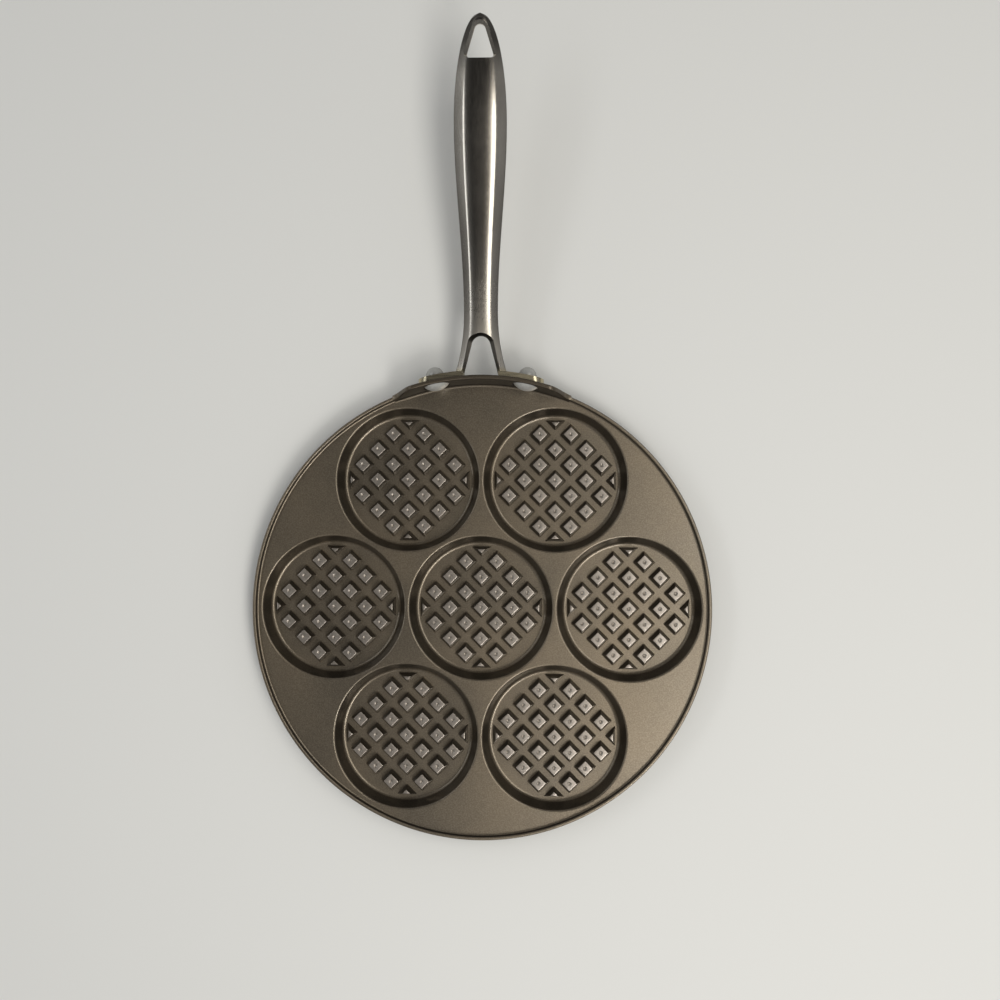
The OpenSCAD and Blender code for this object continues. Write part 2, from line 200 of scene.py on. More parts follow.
def edge_points(piece, edge):
    return [piece.data.vertices[i].co for i in edge.vertices]


def draw(name, points, closed=False):
    """Draws a line through the points, one extruded vertex after another, and leaves it in edit mode."""
    bpy.ops.mesh.primitive_plane_add(size=MM)
    piece = bpy.context.object
    piece.name = name
    edit(piece)
    bpy.ops.mesh.merge(type="CENTER")
    bpy.ops.transform.translate(value=points[0])
    for before, after in zip(points, points[1:]):
        step = Vector(after) - Vector(before)
        bpy.ops.mesh.extrude_vertices_move(TRANSFORM_OT_translate={"value": step})
    bpy.ops.mesh.select_all(action="SELECT")
    if closed:
        bpy.ops.mesh.edge_face_add()
    return piece


def close_shell():
    """In edit mode, merges doubles, closes open ends and turns all faces outwards."""
    bpy.ops.mesh.select_all(action="SELECT")
    bpy.ops.mesh.remove_doubles(threshold=WELD)
    bpy.ops.mesh.fill_holes(sides=0)
    bpy.ops.mesh.select_all(action="SELECT")
    bpy.ops.mesh.normals_make_consistent(inside=False)


def spun(name, profile, steps, turn=2 * pi, start=0.0):
    """Spins a profile of (radius, height) points about Z, clockwise from the start angle."""
    piece = draw(name, [(r * cos(start), r * sin(start), z) for r, z in profile])
    bpy.ops.mesh.spin(steps=steps, angle=turn, center=(0, 0, 0), axis=(0, 0, 1))
    close_shell()
    return done()


def prism(name, outline, push):
    """Fills a closed outline and pushes it along a direction."""
    piece = draw(name, outline, closed=True)
    bpy.ops.mesh.extrude_region_move(TRANSFORM_OT_translate={"value": push})
    close_shell()
    return done()


def bridged(name, rings):
    """Draws closed rings and bridges each to the next, then fills both ends."""
    pieces = []
    for ring in rings:
        pieces.append(draw(name, [*ring, ring[0]]))
        bpy.ops.mesh.remove_doubles(threshold=WELD)
        done()
    joined = join(name, pieces)
    size = len(rings[0])
    for i in range(len(rings) - 1):
        edit(joined)
        select_where(joined, "edges", lambda e: e.vertices[0] // size == e.vertices[1] // size in (i, i + 1))
        bpy.ops.mesh.bridge_edge_loops()
    close_shell()
    return done()


def join(name, pieces):
    only(pieces[0])
    for piece in pieces:
        piece.select_set(True)
    bpy.ops.object.join()
    bpy.context.object.name = name
    return bpy.context.object


def copied(piece, place, turn=0.0):
    """A copy with its own mesh, turned about Z and moved."""
    twin = piece.copy()
    twin.data = piece.data.copy()
    bpy.context.collection.objects.link(twin)
    twin.location = place
    twin.rotation_euler = (0, 0, turn)
    return twin


def applied(piece, kind, **settings):
    """Adds a modifier with its settings and applies it."""
    only(piece)
    modifier = piece.modifiers.new(kind.lower(), kind)
    for key, value in settings.items():
        setattr(modifier, key, value)
    bpy.ops.object.modifier_apply(modifier=modifier.name)
    return piece


def combined(piece, tool, operation):
    """Unites the piece with a tool, cuts the tool out of it, or keeps what both share."""
    applied(piece, "BOOLEAN", operation=operation, solver="MANIFOLD", object=tool)
    bpy.data.objects.remove(tool)
    return piece


def placed(piece, place=(0, 0, 0), turn=(0, 0, 0)):
    """Moves and turns a piece and puts its place into its mesh."""
    only(piece)
    piece.location = place
    piece.rotation_euler = turn
    bpy.ops.object.transform_apply(location=True, rotation=True, scale=True)
    return piece


def smoothed(piece, angle=30):
    only(piece)
    bpy.ops.object.shade_smooth_by_angle(angle=radians(angle))
    return applied(piece, "WEIGHTED_NORMAL", keep_sharp=True, weight=50)


def finished(piece, node, finish):
    """A piece that stands for a CAD node, in its finish."""
    piece.data.materials.clear()
    piece.data.materials.append(finish)
    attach(piece, "root")
    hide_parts(node)
    return piece


# ---- Pan ----

def deck_and_rim():
    top_r = PAN_R - RIM_DRAFT
    inner_r = PAN_R - RIM_W - RIM_DRAFT / 2
    profile = [
        (0, DECK_UNDER_Z),
        *arc((PAN_R - CASTING_EDGE, DECK_UNDER_Z + CASTING_EDGE), CASTING_EDGE, -90, 0),
        *arc((top_r - RIM_EDGE, RIM_TOP_Z - RIM_EDGE), RIM_EDGE, CASTING_DRAFT, 90),
        *arc((inner_r + RIM_EDGE, RIM_TOP_Z - RIM_EDGE), RIM_EDGE, 90, 180 - RIM_INSIDE_DRAFT),
        *reversed(arc((inner_r - RIM_FOOT, DECK_Z + RIM_FOOT), RIM_FOOT, -90, -RIM_INSIDE_DRAFT)),
        (0, DECK_Z),
    ]
    return spun("pan", profile, RING_STEPS)


def cup_shell():
    """The outside of a cup, under the deck."""
    foot_r = CUP_FLOOR_R + CUP_WALL
    top_r = foot_r + CUP_WALL_DRAFT + CASTING_EDGE
    profile = [
        (0, 0),
        *arc((foot_r - CASTING_EDGE, CASTING_EDGE), CASTING_EDGE, -90, -CASTING_DRAFT),
        *reversed(arc((top_r, DECK_UNDER_Z - CASTING_EDGE), CASTING_EDGE, 90, 180 - CASTING_DRAFT)),
        (top_r, DECK_UNDER_Z + CASTING_EDGE),
        (0, DECK_UNDER_Z + CASTING_EDGE),
    ]
    return spun("cup_shell", profile, CUP_STEPS)


def cup_hollow():
    """The space inside a cup: flat floor, fillet, leaning wall and rounded lip."""
    corner = tan(radians((90 + CUP_DRAFT) / 2))
    above = RIM_TOP_Z + CASTING_EDGE
    lip_out = CUP_TOP_R + LIP_R / corner
    profile = [
        (0, FLOOR_Z),
        *arc((CUP_FLOOR_R - CUP_FILLET / corner, FLOOR_Z + CUP_FILLET), CUP_FILLET, -90, -CUP_DRAFT),
        *arc((lip_out, DECK_Z - LIP_R), LIP_R, 180 - CUP_DRAFT, 90),
        (lip_out, above),
        (0, above),
    ]
    return spun("cup_hollow", profile, CUP_STEPS)


def cup_centres():
    turns = [2 * pi * i / CUPS for i in range(CUPS)]
    return [Vector((0, 0, 0)), *(CUP_PITCH * Vector((cos(a), sin(a), 0)) for a in turns)]


def at_each_cup(piece, name):
    copies = [copied(piece, centre) for centre in cup_centres()]
    bpy.data.objects.remove(piece)
    return join(name, copies)


def peg(corner=False):
    """One square peg that narrows to its top and has a dimple there. A corner peg is cut to a triangle, with
    a leaning back and no dimple. Both stand on a flared foot that goes a little into the cup's floor."""
    middle_z = FLOOR_Z + PEG_H / 2
    top_z = FLOOR_Z + PEG_H
    bpy.ops.mesh.primitive_cube_add(size=1)
    piece = bpy.context.object
    piece.scale = (PEG_FOOT, PEG_FOOT, PEG_H)
    placed(piece, place=(0, 0, middle_z), turn=(0, 0, pi / 4))
    edit(piece)
    narrow = PEG_TOP / PEG_FOOT
    select_where(piece, "polygons", lambda f: f.normal.z > LEVEL)
    bpy.ops.transform.resize(value=(narrow, narrow, 1), center_override=(0, 0, top_z))
    if corner:
        lean = (PEG_FOOT - PEG_TOP) / 2 / PEG_H
        bpy.ops.mesh.select_all(action="SELECT")
        bpy.ops.mesh.bisect(plane_co=(CORNER_BACK, 0, FLOOR_Z), plane_no=(1, 0, lean),
                            use_fill=True, clear_outer=True)
    select_where(piece, "edges", lambda e: max(p.z for p in edge_points(piece, e)) > middle_z)
    bpy.ops.mesh.bevel(offset=PEG_SOFT, segments=2, affect="EDGES")
    select_where(piece, "polygons", lambda f: f.normal.z < -LEVEL)
    centre_x = CORNER_BACK - PEG_FOOT / 4 if corner else 0
    bpy.ops.transform.translate(value=(0, 0, PEG_FLARE))
    for wider in (1 + 2 * PEG_FLARE / PEG_FOOT, 1):
        bpy.ops.mesh.extrude_region_move(TRANSFORM_OT_translate={"value": (0, 0, -PEG_FLARE)})
        bpy.ops.transform.resize(value=(wider, wider, 1), center_override=(centre_x, 0, FLOOR_Z))
    close_shell()
    done()
    if not corner:
        ball_r = (DIMPLE_R ** 2 + DIMPLE_DEPTH ** 2) / (2 * DIMPLE_DEPTH)
        reach = degrees(asin(DIMPLE_R / ball_r))
        profile = [
            *arc((0, top_z - DIMPLE_DEPTH + ball_r), ball_r, -90, -90 + reach, steps=2),
            (DIMPLE_R, top_z + PEG_FLARE),
            (0, top_z + PEG_FLARE),
        ]
        combined(piece, spun("dimple", profile, DIMPLE_STEPS), "DIFFERENCE")
    return piece


def peg_field():
    """All the pegs of all the cups. The rows run at 45 degrees, and the four corner pegs are triangles."""
    whole, corner = peg(), peg(corner=True)
    places = range(-PEG_REACH, PEG_REACH + 1)
    pegs = []
    for centre in cup_centres():
        for i in places:
            for j in places:
                along = PEG_PITCH / sqrt(2) * Vector((i - j, i + j, 0))
                if abs(i) == abs(j) == PEG_REACH:
                    turn = along.to_2d().angle_signed(Vector((1, 0)))
                    pegs.append(copied(corner, centre + along, turn))
                else:
                    pegs.append(copied(whole, centre + along))
    bpy.data.objects.remove(whole)
    bpy.data.objects.remove(corner)
    return join("pegs", pegs)


def ear():
    """The raised wall that carries the handle. Its ends run down into the rim in soft curves."""
    half_turn = asin(EAR_FOOT_W / 2 / PAN_R)
    flat_turn = asin(EAR_TOP_W / 2 / PAN_R)
    soft = EAR_TOP_T / 3
    inner_r = PAN_R - EAR_TOP_T
    foot_r = PAN_R - EAR_FOOT_T
    lean = degrees(atan((EAR_FOOT_T - EAR_TOP_T) / (EAR_TOP_Z - DECK_Z)))
    profile = [
        (PAN_R, DECK_Z - MM),
        *arc((PAN_R - soft, EAR_TOP_Z - soft), soft, 0, 90),
        *arc((inner_r + soft, EAR_TOP_Z - soft), soft, 90, 180 - lean),
        *reversed(arc((foot_r - EAR_FILLET, DECK_Z + EAR_FILLET), EAR_FILLET, -90, -lean)),
        (foot_r - EAR_FILLET, DECK_Z - MM),
    ]
    piece = spun("ear", [*profile, profile[0]], EAR_STEPS, turn=2 * half_turn, start=pi / 2 + half_turn)
    end_share = (RIM_TOP_Z - DECK_Z) / (EAR_TOP_Z - DECK_Z)
    edit(piece)
    for i in range(EAR_STEPS + 1):
        turn = lerp(half_turn, -half_turn, i / EAR_STEPS)
        share = lerp(1, end_share, ease((abs(turn) - flat_turn) / (half_turn - flat_turn)))
        if share < 1:
            side = Vector((cos(turn), -sin(turn), 0))
            select_where(piece, "vertices",
                         lambda v: abs(v.co.x * side.x + v.co.y * side.y) < WELD and v.co.z > DECK_Z)
            bpy.ops.transform.resize(value=(1, 1, share), center_override=(0, 0, DECK_Z))
    return done()


def along_rivet(piece, side):
    """Turns a shape that was made about Z, so that it points out of the pan along a rivet."""
    placed(piece, turn=(-pi / 2, 0, 0))
    return placed(piece, place=(0, 0, RIVET_Z), turn=(0, 0, -side * RIVET_TURN))


def pan(finish):
    piece = deck_and_rim()
    combined(piece, at_each_cup(cup_shell(), "shells"), "UNION")
    combined(piece, ear(), "UNION")
    combined(piece, at_each_cup(cup_hollow(), "hollows"), "DIFFERENCE")
    head_r = INNER_HEAD[0] / 2 + HEAD_GAP
    for side in (-1, 1):
        seat = [(0, SPOT_R - EAR_FOOT_T), (head_r, SPOT_R - EAR_FOOT_T), (head_r, SPOT_R), (0, SPOT_R)]
        hole = [(0, SPOT_R - MM), (SHANK_R, SPOT_R - MM), (SHANK_R, PAN_R + MM), (0, PAN_R + MM)]
        for profile in (seat, hole):
            combined(piece, along_rivet(spun("drill", profile, RIVET_STEPS), side), "DIFFERENCE")
    combined(piece, peg_field(), "UNION")
    return finished(smoothed(piece), "pan_body", finish)


# ---- Handle ----
# It is shaped in its own frame: x across, y from the pan's wall to the tip, z out of its top face.

# Its section, in shares of the half width and of the height:
SHOULDER = 0.64                          # half width of the crown
SHOULDER_IN, SHOULDER_OUT = 0.98, 1.04   # where the rounded shoulder starts and ends, times SHOULDER
SHOULDER_DROP = 0.05
CROWN = 0.19                             # fall of the crown towards its shoulders
BAND_AT, BAND_FALL = 0.8, 0.47           # a point within the side band, and how far down the band it lies
EDGE_AT, EDGE_H = 0.97, 0.30             # where the side bands turn into the rounded edge

FORK_CURVE = 2.2                         # how suddenly the outline widens towards the pan
TIP_CURVE = 0.47                         # 0.5 makes the tip half an ellipse, and less makes it blunter
TIP_END_T = 0.5                          # thickness of the tip's end, as a share of the loop's
TIP_THINNING = 1.3                       # how late the tip thins

GAP_EDGE_H = 1.1 * MM                    # half thickness of a tine at the fork's inside edge
LOOP_EDGE_H = 0.7 * MM                   # and of the loop at the hole's edge
TINE_FLARE = 1.2                         # how far the sides of the gap spread, per unit of height,
CROTCH_FLARE = 0.6                       # and at its crotch
LOOP_FLARE = 1.15                        # the same along the sides of the hole,
TIP_FLARE = 1.0                          # at its point
BASE_FLARE = 0.3                         # and at its base
CUTTER_H = 9 * MM                        # reach of the cutters above and below the middle plane
GAP_OVERRUN = 8 * MM                     # and of the gap's cutter past the handle's foot

RIDGE_SOFT = 0.4 * MM                    # rounding of the ridges round the hole and along the fork,
RIDGE_FROM_Y = 2 * MM                    # which start this far from the pan's wall
RIDGE_FROM_Z = 1.3 * MM                  # and lie farther than this from the middle plane
RIDGE_ANGLE = radians(35)                # an edge that turns by more is a ridge


def outline(y):
    """Half width of the handle."""
    if y < NECK_AT:
        return lerp(NECK_W, FORK_W, (1 - y / NECK_AT) ** FORK_CURVE) / 2
    if y < GRIP_AT:
        return lerp(NECK_W, GRIP_W, ease((y - NECK_AT) / (GRIP_AT - NECK_AT))) / 2
    share = min(1, (y - GRIP_AT) / (HANDLE_END + 2 * WELD - GRIP_AT))
    return GRIP_W / 2 * (1 - share ** 2) ** TIP_CURVE


def height(y, grip):
    """Height of the handle's middle over, or under, its middle plane."""
    if y < GRIP_AT:
        return lerp(TINE_HALF_T, grip, ease((y - FORK_LEN) / (GRIP_AT - FORK_LEN)))
    tip_start = HANDLE_LEN - LOOP_TIP_W / 2
    loop = lerp(grip, LOOP_HALF_T, ease((y - GRIP_AT) / (HANDLE_LEN - GRIP_AT)))
    return loop * lerp(1, TIP_END_T, max(0, (y - tip_start) / (HANDLE_LEN - tip_start)) ** TIP_THINNING)


def section():
    """The handle's section, one unit wide and high on each side: a crown, two side bands, round edges."""
    steps = 10
    crown = [(SHOULDER * i / steps, 1 - CROWN * (i / steps) ** 3) for i in range(steps)]
    crown.append((SHOULDER * SHOULDER_IN, 1 - CROWN))
    band = [
        (SHOULDER * SHOULDER_OUT, 1 - CROWN - SHOULDER_DROP),
        (BAND_AT, lerp(1 - CROWN, EDGE_H, BAND_FALL)),
        (EDGE_AT, EDGE_H),
    ]
    edge = [(lerp(EDGE_AT, 1, sin(radians(a))), EDGE_H * cos(radians(a))) for a in (30, 60, 90)]
    quarter = [*crown, *band, *edge]
    top = [*[(-x, z) for x, z in reversed(quarter[1:])], *quarter]
    return [*top, *[(x, -z) for x, z in reversed(top[1:-1])]]


def handle_stations():
    """Where along the handle its sections stand: closer at the fork, and closest at the tip."""
    fork_steps, grip_steps, tip_steps = 18, 14, 26
    fork = [MM + (NECK_AT - MM) * i / fork_steps for i in range(fork_steps)]
    grip = [lerp(NECK_AT, GRIP_AT, i / grip_steps) for i in range(grip_steps)]
    tip = [lerp(GRIP_AT, HANDLE_END, sin(pi / 2 * i / tip_steps)) for i in range(tip_steps)]
    return [*fork, *grip, *tip, HANDLE_END]


def handle_blank():
    """The handle before its fork and hanging hole are cut: one section, pushed on and resized."""
    stations = handle_stations()

    def size(y):
        up, down = height(y, GRIP_UP), height(y, GRIP_DOWN)
        return outline(y), (up + down) / 2, (up - down) / 2

    w, h, middle = size(stations[0])
    piece = draw("forked_handle", [(x * w, stations[0], middle + z * h) for x, z in section()], closed=True)
    for before, y in zip(stations, stations[1:]):
        new_w, new_h, new_middle = size(y)
        bpy.ops.mesh.extrude_region_move(
            TRANSFORM_OT_translate={"value": (0, y - before, new_middle - middle)})
        bpy.ops.transform.resize(value=(new_w / w, 1, new_h / h), center_override=(0, y, new_middle))
        w, h, middle = new_w, new_h, new_middle
    close_shell()
    return done()


def flared(name, outline_points, edge_h):
    """A cutter for a hole whose sides open towards both faces. Each point is x, y, the direction in which
    it spreads, and its spread per unit of height."""
    rings = []
    for z in (-CUTTER_H, -edge_h, edge_h, CUTTER_H):
        rise = max(0, abs(z) - edge_h)
        rings.append([(x + dx * k * rise, y + dy * k * rise, z) for x, y, dx, dy, k in outline_points])
    return bridged(name, rings)


def flared_arc(centre, radius, start, end, steps, spread):
    """Points of a flared cutter along an arc. The spread is a function of the angle."""
    angles = [lerp(start, end, i / steps) for i in range(steps + 1)]
    return [(centre[0] + radius * cos(a), centre[1] + radius * sin(a), cos(a), sin(a), spread(a))
            for a in angles]


def arc_share(angle, start):
    """0 where a round end starts, 1 at its middle."""
    return (sin(angle) - sin(start)) / (1 - sin(start))


def fork_gap():
    """The cutter between the tines: a round crotch whose straight sides spread towards the pan."""
    centre_y = FORK_LEN - CROTCH_R
    crotch = flared_arc((0, centre_y), CROTCH_R, FORK_ANGLE, pi - FORK_ANGLE, steps=20,
                        spread=lambda a: lerp(TINE_FLARE, CROTCH_FLARE, ease(arc_share(a, FORK_ANGLE))))
    mouth_x = CROTCH_R / cos(FORK_ANGLE) + (centre_y + GAP_OVERRUN) * tan(FORK_ANGLE)
    right, left = crotch[0], crotch[-1]
    return flared("fork_gap", [
        (mouth_x, -GAP_OVERRUN, *right[2:]), *crotch, (-mouth_x, -GAP_OVERRUN, *left[2:])], GAP_EDGE_H)


def hanging_hole():
    """The cutter of the hole: a triangle with a round point towards the tip and two small round corners."""
    centre_y = HOLE_TOP_Y - HOLE_R
    corner_y = HOLE_BASE_Y + HOLE_CORNER
    corner_x = (HOLE_R - HOLE_CORNER + (centre_y - corner_y) * sin(HOLE_ANGLE)) / cos(HOLE_ANGLE)
    right = flared_arc((corner_x, corner_y), HOLE_CORNER, -pi / 2, HOLE_ANGLE, steps=7,
                       spread=lambda a: lerp(LOOP_FLARE, BASE_FLARE, ease(arc_share(-a, -HOLE_ANGLE))))
    point = flared_arc((0, centre_y), HOLE_R, HOLE_ANGLE, pi - HOLE_ANGLE, steps=16,
                       spread=lambda a: lerp(LOOP_FLARE, TIP_FLARE, ease(arc_share(a, HOLE_ANGLE))))
    left = [(-x, y, -dx, dy, spread) for x, y, dx, dy, spread in reversed(right)]
    return flared("hanging_hole", [*right, *point, *left], LOOP_EDGE_H)


def tab(side):
    """The curved plate that runs from a tine along the ear to past its rivet, with a round end."""
    inner = PAN_R + TAB_GAP
    low, high = RIVET_Z - TAB_H / 2, RIVET_Z + TAB_H / 2
    profile = [(inner, low - MM), (inner + TAB_T, low - MM), (inner + TAB_T, high + MM), (inner, high + MM)]
    end_x = RIVET_X + TAB_END
    reach = asin(end_x / PAN_R) + TAB_OVERRUN
    start = pi / 2 if side > 0 else pi / 2 + reach
    piece = spun("tab", [*profile, profile[0]], TAB_STEPS, turn=reach, start=start)
    round_x = end_x - TAB_H / 2
    stadium = [
        (TAB_START, low),
        *[(round_x + x, RIVET_Z + z) for x, z in arc((0, 0), TAB_H / 2, -90, 90, steps=16)],
        (TAB_START, high),
    ]
    plate = prism("plate", [(side * x, 0, z) for x, z in stadium], (0, 2 * PAN_R, 0))
    combined(piece, plate, "INTERSECT")
    return applied(piece, "BEVEL", width=TAB_SOFT, segments=3, limit_method="ANGLE",
                   angle_limit=radians(40))


def soften_ridges(piece):
    """Rounds the ridges round the hanging hole, but for its base, and along the fork."""
    edit(piece)
    bpy.ops.mesh.select_all(action="DESELECT")
    bpy.ops.mesh.select_mode(type="EDGE")
    bpy.ops.mesh.edges_select_sharp(sharpness=RIDGE_ANGLE)
    bpy.ops.object.mode_set(mode="OBJECT")
    sharp = {edge.index for edge in piece.data.edges if edge.select}

    def by_gap_or_hole(y):
        return RIDGE_FROM_Y < y < FORK_LEN + RIDGE_FROM_Y or y > HOLE_BASE_Y + 2 * HOLE_CORNER

    def on_ridge(edge):
        ends = edge_points(piece, edge)
        return edge.index in sharp and all(abs(p.z) > RIDGE_FROM_Z and by_gap_or_hole(p.y) for p in ends)

    bpy.ops.object.mode_set(mode="EDIT")
    select_where(piece, "edges", on_ridge)
    bpy.ops.mesh.bevel(offset=RIDGE_SOFT, segments=2, affect="EDGES", clamp_overlap=True)
    return done()


def handle(finish):
    piece = handle_blank()
    combined(piece, fork_gap(), "DIFFERENCE")
    combined(piece, hanging_hole(), "DIFFERENCE")
    soften_ridges(piece)
    placed(piece, place=(0, PAN_R, RIVET_Z), turn=(HANDLE_RISE, 0, 0))
    for side in (-1, 1):
        combined(piece, tab(side), "UNION")
    return finished(smoothed(piece), "handle", finish)


# ---- Rivets ----

def dome(size):
    """Points of a dome of that diameter and height, from its edge to its top."""
    r = (size[0] ** 2 / 4 + size[1] ** 2) / (2 * size[1])
    full = degrees(asin(min(1, size[0] / 2 / r)))
    return [(x, size[1] - r + z) for x, z in arc((0, 0), r, 90 - full, 90, 10)]


def rivet(side, finish):
    outer_z = PAN_R + TAB_GAP + TAB_T
    profile = [
        *[(r, SPOT_R - z) for r, z in reversed(dome(INNER_HEAD))],
        (SHANK_R, SPOT_R),
        (SHANK_R, outer_z),
        *[(r, outer_z + z) for r, z in dome(OUTER_HEAD)],
    ]
    name = "rivet_right" if side > 0 else "rivet_left"
    piece = along_rivet(spun(name + "_head", profile, RIVET_STEPS), side)
    return finished(smoothed(piece, angle=50), name, finish)


# ---- Finishes ----

def linear(red, green, blue):
    """A colour given as it shows on screen, 0 to 255."""
    def one(c):
        c /= 255
        return c / 12.92 if c <= 0.04045 else ((c + 0.055) / 1.055) ** 2.4
    return (one(red), one(green), one(blue), 1.0)


# A pair is mixed by a noise.
COAT = linear(108, 99, 86), linear(120, 108, 91)
COAT_FLAKE = linear(172, 161, 141)
# Painted shade on the ear's upper part.
COAT_SHADE_ON_EAR = linear(66, 58, 48)
# Painted shade on the coat's steep faces: cup walls, peg sides and underside.
COAT_SHADE_ON_WALLS = linear(20, 16, 12)
PALE_PEG_TOP = linear(160, 152, 144), linear(182, 174, 166)
STEEL = linear(196, 190, 180), linear(208, 202, 192)
# Painted shade on the steel's steep flanks and on the loop's outer band.
STEEL_FLANK_SHADE = linear(64, 62, 58)
STEEL_TAB = linear(204, 192, 158)
ALUMINIUM = linear(198, 198, 194), linear(212, 212, 208)
# Painted shade on the rivets' outer domes.
ALUMINIUM_SHADE = linear(96, 95, 90)
FLOOR_TONE = linear(216, 216, 213)
BACKDROP = linear(219, 219, 216)

BRUSH_PULL = 0.03                        # scale of the brushed grain along its lines, against 1 across them


class Socket:
    """An output of a shader node. Arithmetic on it adds Math nodes."""

    def __init__(self, nodes, link):
        self.nodes, self.link = nodes, link

    def __add__(self, other):
        return self.nodes.math("ADD", self, other)

    def __radd__(self, other):
        return self.nodes.math("ADD", other, self)

    def __rsub__(self, other):
        return self.nodes.math("SUBTRACT", other, self)

    def __mul__(self, other):
        return self.nodes.math("MULTIPLY", self, other)

    def __rmul__(self, other):
        return self.nodes.math("MULTIPLY", other, self)


class Nodes:
    """The nodes of one material or world."""

    def __init__(self, owner):
        owner.use_nodes = True
        self.tree = owner.node_tree
        self.tree.nodes.clear()

    def add(self, kind, settings=None, inputs=None, output=0):
        """Adds a node: its settings first, then the values or links of its sockets."""
        node = self.tree.nodes.new("ShaderNode" + kind)
        for key, value in (settings or {}).items():
            if key == "stops":
                self.set_stops(node.color_ramp, value)
            else:
                setattr(node, key, value)
        for key, value in (inputs or {}).items():
            if isinstance(value, Socket):
                self.tree.links.new(value.link, node.inputs[key])
            else:
                node.inputs[key].default_value = value
        return Socket(self, node.outputs[output]) if len(node.outputs) else None

    def set_stops(self, ramp, stops):
        while len(ramp.elements) < len(stops):
            ramp.elements.new(1)
        for element, (place, colour) in zip(ramp.elements, stops):
            element.position = place
            element.color = colour

    def place(self):
        return self.add("TexCoord", output="Object")

    def normal(self):
        return self.add("NewGeometry", output="Normal")

    def axis(self, vector, index):
        """One number of a vector: 0 for x, 1 for y, 2 for z."""
        return self.add("SeparateXYZ", inputs={0: vector}, output=index)

    def length(self, vector):
        return self.add("VectorMath", {"operation": "LENGTH"}, {0: vector}, output="Value")

    def mapped(self, vector, **inputs):
        return self.add("Mapping", {"vector_type": "POINT"}, {"Vector": vector, **inputs})

    def math(self, operation, a, b=0.0):
        return self.add("Math", {"operation": operation}, {0: a, 1: b})

    def noise(self, vector, scale, detail, roughness=0.5):
        return self.add("TexNoise", inputs={
            "Vector": vector, "Scale": scale, "Detail": detail, "Roughness": roughness})

    def between(self, value, low, high):
        """0 at low, 1 at high, and straight between them."""
        return self.add("MapRange", {"clamp": True}, {"Value": value, "From Min": low, "From Max": high})

    def steep(self, low, high):
        """1 where the surface is steeper than low, 0 where it is flatter than high. Both are heights of
        the normal, which is 1 on level faces and 0 on upright ones."""
        return 1 - self.between(self.math("ABSOLUTE", self.axis(self.normal(), 2)), low, high)

    def mix(self, factor, a, b):
        return self.add("Mix", {"data_type": "RGBA"}, {0: factor, 6: a, 7: b}, output=2)

    def bump(self, height, strength, distance, under=None):
        inputs = {"Strength": strength, "Distance": distance, "Height": height}
        if under:
            inputs["Normal"] = under
        return self.add("Bump", inputs=inputs)

    def surface(self, **inputs):
        shader = self.add("BsdfPrincipled", inputs={key.replace("_", " "): inputs[key] for key in inputs})
        self.add("OutputMaterial", inputs={"Surface": shader})


def nonstick():
    """Bronze-grey nonstick coat with fine metal flakes, paler on the tops of the pegs. Painted shade darkens
    the ear's upper part, and darker painted shade the walls, the sides of the pegs and the other steep faces."""
    material = bpy.data.materials.new("nonstick_coat")
    nodes = Nodes(material)
    place = nodes.place()
    height = nodes.axis(place, 2)
    patches = nodes.noise(place, 18.0, detail=3.0)
    flakes = nodes.noise(place, 1400.0, detail=1.0)
    grain = nodes.noise(place, 420.0, detail=4.0, roughness=0.6)
    top = FLOOR_Z + PEG_H
    on_peg = nodes.between(height, top - 0.5 * MM, top - 0.3 * MM) * (
        1 - nodes.between(height, top + 0.2 * MM, top + 0.5 * MM)) * (
        nodes.between(nodes.axis(nodes.normal(), 2), 0.6, 0.9))
    # Painted shade: the ear's upper part is darkened as if shaded.
    ear_shade = nodes.between(height, RIM_TOP_Z + MM, RIM_TOP_Z + 4 * MM)
    coat = nodes.mix(nodes.between(patches, 0.35, 0.7), *COAT)
    coat = nodes.mix(nodes.between(flakes, 0.35, 0.75) * 0.30, coat, COAT_FLAKE)
    coat = nodes.mix(ear_shade * 0.6, coat, COAT_SHADE_ON_EAR)
    pale_top = nodes.mix(nodes.between(grain, 0.3, 0.7), *PALE_PEG_TOP)
    # Painted shade: steep faces, the cup walls, peg sides and underside, are darkened almost to black.
    colour = nodes.mix(nodes.steep(0.2, 0.65) * 0.95, nodes.mix(on_peg * 0.75, coat, pale_top), COAT_SHADE_ON_WALLS)
    rough = nodes.between(patches, 0.3, 0.7) * 0.06 + 0.32 + nodes.between(grain, 0.3, 0.7) * 0.05
    relief = nodes.bump(flakes, 0.25, 0.05 * MM, nodes.bump(grain, 0.15, 0.08 * MM))
    nodes.surface(Base_Color=colour, Roughness=rough, Metallic=0.75, Coat_Weight=0.4, Coat_Roughness=0.18,
                  Normal=relief)
    return material


